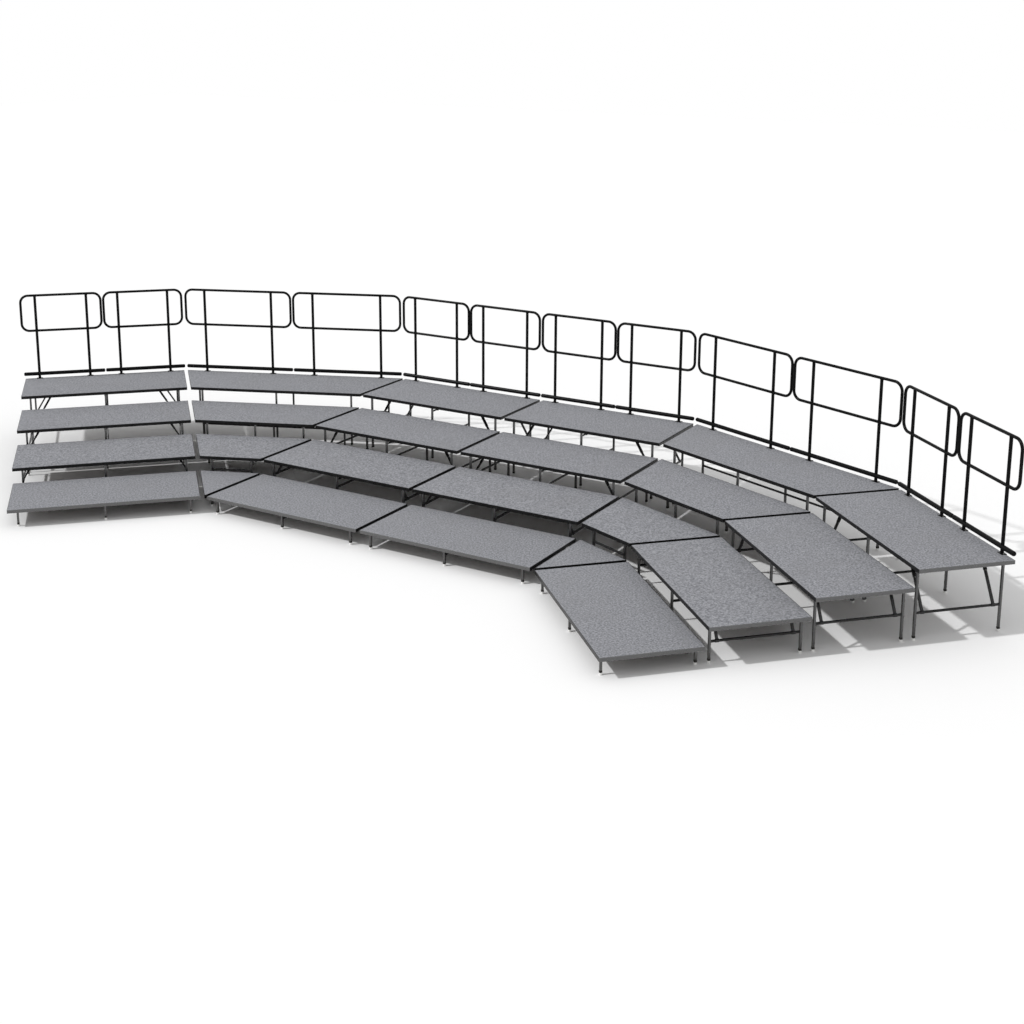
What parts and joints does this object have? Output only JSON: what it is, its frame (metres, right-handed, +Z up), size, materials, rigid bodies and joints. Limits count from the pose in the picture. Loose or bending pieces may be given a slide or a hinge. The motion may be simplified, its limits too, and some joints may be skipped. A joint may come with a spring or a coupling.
{
  "type": "seated riser",
  "caption": "Curved seated riser: stepped tiers of carpeted folding platforms with wedge corners, folding steel leg frames and lift-off guard rails along the back.",
  "frame": {"origin": "on the floor, at the middle of the area the riser covers", "axes": "+X along the straight centre units towards the right wing seen from the audience, +Y from the audience to the back rail, +Z up"},
  "size_m": [15.1308, 6.4084, 2.1946],
  "materials": {
    "carpeted_deck": "plywood board under grey needle-punch carpet",
    "edge_trim": "dark satin powder coat",
    "leg_steel": "black satin powder coat",
    "guard_rail": "black semi-gloss powder coat",
    "knob": "black moulded plastic",
    "foot_glide": "pale grey plastic glide"
  },
  "bodies": {
    "risers": {"centre_left_tier_1_platform": "carpeted_deck", "centre_left_tier_2_platform": "carpeted_deck", "centre_left_tier_3_platform": "carpeted_deck", "centre_left_tier_4_platform": "carpeted_deck", "centre_right_tier_1_platform": "carpeted_deck", "centre_right_tier_2_platform": "carpeted_deck", "centre_right_tier_3_platform": "carpeted_deck", "centre_right_tier_4_platform": "carpeted_deck", "left_wedge_tier_1_platform": "carpeted_deck", "left_wedge_tier_2_platform": "carpeted_deck", "left_wedge_tier_3_platform": "carpeted_deck", "left_wedge_tier_4_platform": "carpeted_deck", "left_wing_tier_1_platform": "carpeted_deck", "left_wing_tier_2_platform": "carpeted_deck", "left_wing_tier_3_platform": "carpeted_deck", "left_wing_tier_4_platform": "carpeted_deck", "right_wedge_tier_1_platform": "carpeted_deck", "right_wedge_tier_2_platform": "carpeted_deck", "right_wedge_tier_3_platform": "carpeted_deck", "right_wedge_tier_4_platform": "carpeted_deck", "right_wing_tier_1_deck_board": "carpeted_deck", "right_wing_tier_1_edge_frame": "edge_trim", "right_wing_tier_2_deck_board": "carpeted_deck", "right_wing_tier_2_edge_frame": "edge_trim", "right_wing_tier_3_deck_board": "carpeted_deck", "right_wing_tier_3_edge_frame": "edge_trim", "right_wing_tier_4_deck_board": "carpeted_deck", "right_wing_tier_4_edge_frame": "edge_trim"},
    "tier_1_legs_inner": {"right_wing_tier_1_leg_frame_inner": "leg_steel"},
    "tier_1_legs_middle": {"right_wing_tier_1_leg_frame_middle": "leg_steel"},
    "tier_1_legs_outer": {"right_wing_tier_1_leg_frame_outer": "leg_steel"},
    "tier_2_legs_inner": {"right_wing_tier_2_leg_frame_inner": "leg_steel"},
    "tier_2_brace_inner": {"right_wing_tier_2_brace_inner": "leg_steel"},
    "tier_2_legs_middle": {"right_wing_tier_2_leg_frame_middle": "leg_steel"},
    "tier_2_legs_outer": {"right_wing_tier_2_leg_frame_outer": "leg_steel"},
    "tier_2_brace_outer": {"right_wing_tier_2_brace_outer": "leg_steel"},
    "tier_3_legs_inner": {"right_wing_tier_3_leg_frame_inner": "leg_steel"},
    "tier_3_brace_inner": {"right_wing_tier_3_brace_inner": "leg_steel"},
    "tier_3_legs_middle": {"right_wing_tier_3_leg_frame_middle": "leg_steel"},
    "tier_3_legs_outer": {"right_wing_tier_3_leg_frame_outer": "leg_steel"},
    "tier_3_brace_outer": {"right_wing_tier_3_brace_outer": "leg_steel"},
    "tier_4_legs_inner": {"right_wing_tier_4_leg_frame_inner": "leg_steel"},
    "tier_4_brace_inner": {"right_wing_tier_4_brace_inner": "leg_steel"},
    "tier_4_legs_middle": {"right_wing_tier_4_leg_frame_middle": "leg_steel"},
    "tier_4_legs_outer": {"right_wing_tier_4_leg_frame_outer": "leg_steel"},
    "tier_4_brace_outer": {"right_wing_tier_4_brace_outer": "leg_steel"},
    "clamp_knob_front": {"clamp_knob_front": "knob"},
    "clamp_knob_back": {"clamp_knob_back": "knob"},
    "guard_rail_01": {"guard_rail_01": "guard_rail"},
    "guard_rail_02": {"guard_rail_02": "guard_rail"},
    "guard_rail_03": {"guard_rail_03": "guard_rail"},
    "guard_rail_04": {"guard_rail_04": "guard_rail"},
    "guard_rail_05": {"guard_rail_05": "guard_rail"},
    "guard_rail_06": {"guard_rail_06": "guard_rail"},
    "guard_rail_07": {"guard_rail_07": "guard_rail"},
    "guard_rail_08": {"guard_rail_08": "guard_rail"},
    "guard_rail_09": {"guard_rail_09": "guard_rail"},
    "guard_rail_10": {"guard_rail_10": "guard_rail"},
    "guard_rail_11": {"guard_rail_11": "guard_rail"},
    "guard_rail_12": {"guard_rail_12": "guard_rail"}
  },
  "joints": [
    {"name": "tier_1_fold_inner", "type": "hinge", "parent": "risers", "child": "tier_1_legs_inner", "pos_m": [3.04547, -1.16794, 0.1793], "axis": [-0.7071, -0.7071, 0], "range_deg": [0, 90]},
    {"name": "tier_1_fold_middle", "type": "hinge", "parent": "risers", "child": "tier_1_legs_middle", "pos_m": [3.81777, -1.94024, 0.1373], "axis": [0.7071, 0.7071, 0], "range_deg": [0, 90]},
    {"name": "tier_1_fold_outer", "type": "hinge", "parent": "risers", "child": "tier_1_legs_outer", "pos_m": [4.59007, -2.71254, 0.1793], "axis": [0.7071, 0.7071, 0], "range_deg": [0, 90]},
    {"name": "tier_2_fold_inner", "type": "hinge", "parent": "risers", "child": "tier_2_legs_inner", "pos_m": [3.87165, -0.34175, 0.3825], "axis": [-0.7071, -0.7071, 0], "range_deg": [0, 90]},
    {"name": "tier_2_brace_swing_inner", "type": "hinge", "parent": "tier_2_legs_inner", "child": "tier_2_brace_inner", "pos_m": [3.87165, -0.34175, 0.23495], "axis": [0.7071, 0.7071, 0], "range_deg": [0, 149.5]},
    {"name": "tier_2_fold_middle", "type": "hinge", "parent": "risers", "child": "tier_2_legs_middle", "pos_m": [4.64396, -1.11406, 0.3405], "axis": [0.7071, 0.7071, 0], "range_deg": [0, 90]},
    {"name": "tier_2_fold_outer", "type": "hinge", "parent": "risers", "child": "tier_2_legs_outer", "pos_m": [5.41626, -1.88636, 0.3825], "axis": [0.7071, 0.7071, 0], "range_deg": [0, 90]},
    {"name": "tier_2_brace_swing_outer", "type": "hinge", "parent": "tier_2_legs_outer", "child": "tier_2_brace_outer", "pos_m": [5.41626, -1.88636, 0.23495], "axis": [-0.7071, -0.7071, 0], "range_deg": [0, 149.5]},
    {"name": "tier_3_fold_inner", "type": "hinge", "parent": "risers", "child": "tier_3_legs_inner", "pos_m": [4.69784, 0.48443, 0.5857], "axis": [-0.7071, -0.7071, 0], "range_deg": [0, 90]},
    {"name": "tier_3_brace_swing_inner", "type": "hinge", "parent": "tier_3_legs_inner", "child": "tier_3_brace_inner", "pos_m": [4.69784, 0.48443, 0.30734], "axis": [0.7071, 0.7071, 0], "range_deg": [0, 149.5]},
    {"name": "tier_3_fold_middle", "type": "hinge", "parent": "risers", "child": "tier_3_legs_middle", "pos_m": [5.47014, -0.28787, 0.5437], "axis": [0.7071, 0.7071, 0], "range_deg": [0, 90]},
    {"name": "tier_3_fold_outer", "type": "hinge", "parent": "risers", "child": "tier_3_legs_outer", "pos_m": [6.24244, -1.06018, 0.5857], "axis": [0.7071, 0.7071, 0], "range_deg": [0, 90]},
    {"name": "tier_3_brace_swing_outer", "type": "hinge", "parent": "tier_3_legs_outer", "child": "tier_3_brace_outer", "pos_m": [6.24244, -1.06018, 0.30734], "axis": [-0.7071, -0.7071, 0], "range_deg": [0, 149.5]},
    {"name": "tier_4_fold_inner", "type": "hinge", "parent": "risers", "child": "tier_4_legs_inner", "pos_m": [5.52402, 1.31061, 0.7889], "axis": [-0.7071, -0.7071, 0], "range_deg": [0, 90]},
    {"name": "tier_4_brace_swing_inner", "type": "hinge", "parent": "tier_4_legs_inner", "child": "tier_4_brace_inner", "pos_m": [5.52402, 1.31061, 0.30734], "axis": [0.7071, 0.7071, 0], "range_deg": [0, 149.5]},
    {"name": "tier_4_fold_middle", "type": "hinge", "parent": "risers", "child": "tier_4_legs_middle", "pos_m": [6.29632, 0.53831, 0.7469], "axis": [0.7071, 0.7071, 0], "range_deg": [0, 90]},
    {"name": "tier_4_fold_outer", "type": "hinge", "parent": "risers", "child": "tier_4_legs_outer", "pos_m": [7.06862, -0.23399, 0.7889], "axis": [0.7071, 0.7071, 0], "range_deg": [0, 90]},
    {"name": "tier_4_brace_swing_outer", "type": "hinge", "parent": "tier_4_legs_outer", "child": "tier_4_brace_outer", "pos_m": [7.06862, -0.23399, 0.30734], "axis": [-0.7071, -0.7071, 0], "range_deg": [0, 149.5]},
    {"name": "turn_clamp_knob_front", "type": "hinge", "parent": "risers", "child": "clamp_knob_front", "pos_m": [6.21079, -1.23749, 0.6179], "axis": [0, 0, 1], "range_deg": [-180, 180]},
    {"name": "turn_clamp_knob_back", "type": "hinge", "parent": "risers", "child": "clamp_knob_back", "pos_m": [6.30724, -1.14105, 0.6179], "axis": [0, 0, 1], "range_deg": [-180, 180]},
    {"name": "lift_guard_rail_01", "type": "slide", "parent": "risers", "child": "guard_rail_01", "axis": [0, 0, 1], "range_m": [0, 0.08]},
    {"name": "lift_guard_rail_02", "type": "slide", "parent": "risers", "child": "guard_rail_02", "axis": [0, 0, 1], "range_m": [0, 0.08]},
    {"name": "lift_guard_rail_03", "type": "slide", "parent": "risers", "child": "guard_rail_03", "axis": [0, 0, 1], "range_m": [0, 0.08]},
    {"name": "lift_guard_rail_04", "type": "slide", "parent": "risers", "child": "guard_rail_04", "axis": [0, 0, 1], "range_m": [0, 0.08]},
    {"name": "lift_guard_rail_05", "type": "slide", "parent": "risers", "child": "guard_rail_05", "axis": [0, 0, 1], "range_m": [0, 0.08]},
    {"name": "lift_guard_rail_06", "type": "slide", "parent": "risers", "child": "guard_rail_06", "axis": [0, 0, 1], "range_m": [0, 0.08]},
    {"name": "lift_guard_rail_07", "type": "slide", "parent": "risers", "child": "guard_rail_07", "axis": [0, 0, 1], "range_m": [0, 0.08]},
    {"name": "lift_guard_rail_08", "type": "slide", "parent": "risers", "child": "guard_rail_08", "axis": [0, 0, 1], "range_m": [0, 0.08]},
    {"name": "lift_guard_rail_09", "type": "slide", "parent": "risers", "child": "guard_rail_09", "axis": [0, 0, 1], "range_m": [0, 0.08]},
    {"name": "lift_guard_rail_10", "type": "slide", "parent": "risers", "child": "guard_rail_10", "axis": [0, 0, 1], "range_m": [0, 0.08]},
    {"name": "lift_guard_rail_11", "type": "slide", "parent": "risers", "child": "guard_rail_11", "axis": [0, 0, 1], "range_m": [0, 0.08]},
    {"name": "lift_guard_rail_12", "type": "slide", "parent": "risers", "child": "guard_rail_12", "axis": [0, 0, 1], "range_m": [0, 0.08]}
  ],
  "couplings": [
    {"joint": "tier_2_brace_swing_inner", "follows": "tier_2_fold_inner", "ratio": 1.656},
    {"joint": "tier_2_brace_swing_outer", "follows": "tier_2_fold_outer", "ratio": 1.656},
    {"joint": "tier_3_brace_swing_inner", "follows": "tier_3_fold_inner", "ratio": 1.656},
    {"joint": "tier_3_brace_swing_outer", "follows": "tier_3_fold_outer", "ratio": 1.656},
    {"joint": "tier_4_brace_swing_inner", "follows": "tier_4_fold_inner", "ratio": 1.656},
    {"joint": "tier_4_brace_swing_outer", "follows": "tier_4_fold_outer", "ratio": 1.656}
  ]
}
